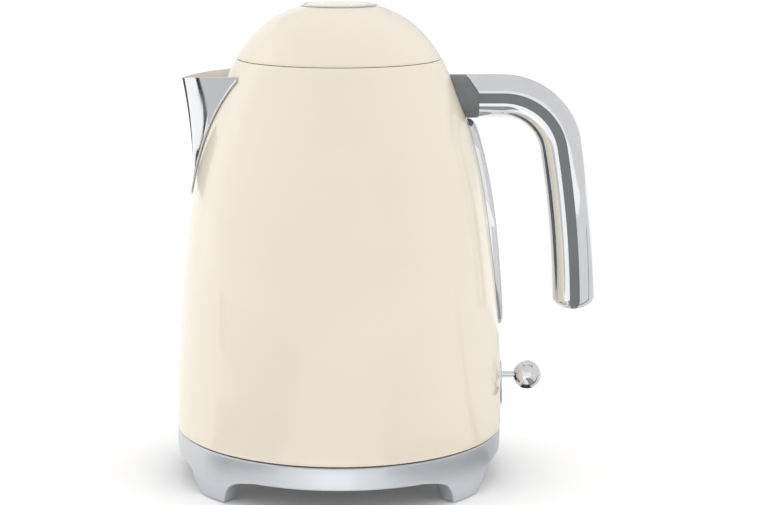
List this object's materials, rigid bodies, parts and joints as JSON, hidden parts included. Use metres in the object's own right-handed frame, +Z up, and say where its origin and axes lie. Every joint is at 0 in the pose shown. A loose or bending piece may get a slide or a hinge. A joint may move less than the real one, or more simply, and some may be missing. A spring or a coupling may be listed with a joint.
{
  "type": "electric kettle",
  "caption": "Cordless electric kettle with a domed cream jug, chrome spout and looped handle, a push-button lid, a power lever and a footed silver base.",
  "frame": {"origin": "on the worktop plane, under the middle of the kettle's overall width and depth", "axes": "+Z up along the jug's axis, +X towards the handle, the spout towards -X, +Y across the jug"},
  "size_m": [0.2194, 0.1712, 0.248],
  "materials": {
    "cream_enamel": "gloss cream enamel on steel",
    "chrome_trim": "polished",
    "stainless": "brushed",
    "grey_plastic": "satin grey",
    "black_plastic": "fine matt grain",
    "silicone": "matt silicone",
    "contact_brass": "bright brass contacts",
    "gauge_clear": "clear tinted plastic",
    "base_silver": "satin silver",
    "aluminium_disc": "cast",
    "element_sheath": "drawn tube",
    "bimetal": "rolled snap disc",
    "button_cream": "gloss cream"
  },
  "bodies": {
    "base": {"base_shell": "base_silver", "base_deck": "base_silver", "connector_tower": "black_plastic", "contact_rings": "contact_brass", "base_underside": "black_plastic", "cord_drum": "black_plastic", "base_screws": "stainless", "foot_pads": "silicone", "cord_gland": "silicone"},
    "socket": {"connector_socket": "contact_brass"},
    "jug": {"body_shell": "cream_enamel", "neck_ring": "grey_plastic", "spout": "chrome_trim", "spout_trim": "chrome_trim", "handle_frame": "grey_plastic", "handle_outer_cover": "chrome_trim", "handle_inner_cover": "chrome_trim", "handle_screws": "stainless", "gauge_bezel": "chrome_trim", "gauge_window": "gauge_clear", "gauge_gasket": "silicone", "switch_plate": "chrome_trim", "lever_pivot_pin": "stainless", "lid_hinge_pin": "stainless", "lid_spring": "stainless", "heater_plate": "stainless", "plate_seal": "silicone", "heat_spreader": "aluminium_disc", "heating_element": "element_sheath", "thermostat_control": "black_plastic", "bimetal_disc": "bimetal", "steam_tube": "grey_plastic", "bottom_cover": "black_plastic", "bottom_screws": "stainless"},
    "filter": {"filter_frame": "grey_plastic", "filter_mesh": "stainless"},
    "lever": {"switch_lever": "chrome_trim", "lever_knob": "chrome_trim"},
    "lid": {"lid_shell": "cream_enamel", "lid_inner_cover": "grey_plastic", "lid_gasket": "silicone", "lid_hinge_arms": "stainless", "button_ring": "chrome_trim", "button_spring": "stainless"},
    "button": {"lid_button": "button_cream"},
    "latch": {"latch_bolt": "stainless"}
  },
  "joints": [
    {"name": "jug_lift", "type": "slide", "parent": "base", "child": "socket", "axis": [0, 0, 1], "range_m": [0, 0.12]},
    {"name": "jug_swivel", "type": "hinge", "parent": "socket", "child": "jug", "pos_m": [-0.02415, 0, 0.03], "axis": [0, 0, 1], "continuous": true},
    {"name": "lid_hinge", "type": "hinge", "parent": "jug", "child": "lid", "pos_m": [0.02546, 0, 0.2113], "axis": [0, 1, 0], "range_deg": [0, 62]},
    {"name": "lid_button_press", "type": "slide", "parent": "lid", "child": "button", "axis": [0, 0, -1], "range_m": [0, 0.003], "stiffness_N_per_m": 300, "springref_m": -0.004, "deforming": ["button_spring"]},
    {"name": "latch_slide", "type": "slide", "parent": "lid", "child": "latch", "axis": [1, 0, 0], "range_m": [0, 0.0025]},
    {"name": "lever_hinge", "type": "hinge", "parent": "jug", "child": "lever", "pos_m": [0.03987, 0, 0.0516], "axis": [0, 1, 0], "range_deg": [0, 16]},
    {"name": "filter_slide", "type": "slide", "parent": "jug", "child": "filter", "axis": [1, 0, 0], "range_m": [0, 0.018]}
  ],
  "couplings": [
    {"joint": "latch_slide", "follows": "lid_button_press", "ratio": 0.8333}
  ]
}
